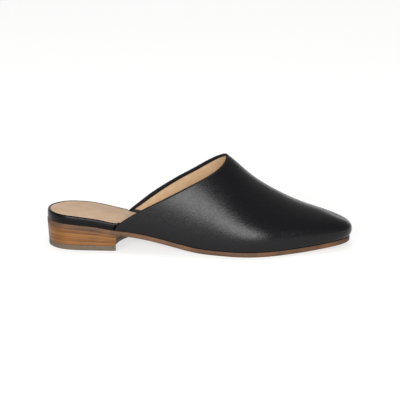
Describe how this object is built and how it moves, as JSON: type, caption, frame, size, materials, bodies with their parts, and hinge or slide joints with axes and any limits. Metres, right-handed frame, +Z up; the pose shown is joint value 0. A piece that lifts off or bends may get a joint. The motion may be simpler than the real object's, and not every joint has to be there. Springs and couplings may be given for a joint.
{
  "type": "mule shoe",
  "caption": "Low-heeled closed-toe leather mule for the right foot, open at the back, on a leather outsole and a stacked heel.",
  "frame": {"origin": "on the floor, under the middle of the shoe's bounding box", "axes": "+X from the heel to the toe, +Y to the inner side of the right foot, +Z up"},
  "size_m": [0.262, 0.0826, 0.0788],
  "materials": {
    "black_calf": "smooth satin calf",
    "black_edge": "leather-covered edge",
    "beige_calf": "undyed smooth lining leather",
    "sole_leather": "burnished edge",
    "stacked_leather": "waxed stacked heel",
    "top_lift_rubber": "matte"
  },
  "bodies": {
    "root": {"upper": "black_calf", "footbed": "black_edge", "insole": "beige_calf", "outsole": "sole_leather", "heel_lift_1": "stacked_leather", "heel_lift_2": "stacked_leather", "heel_lift_3": "stacked_leather", "heel_lift_4": "stacked_leather", "top_lift": "top_lift_rubber"}
  },
  "joints": []
}
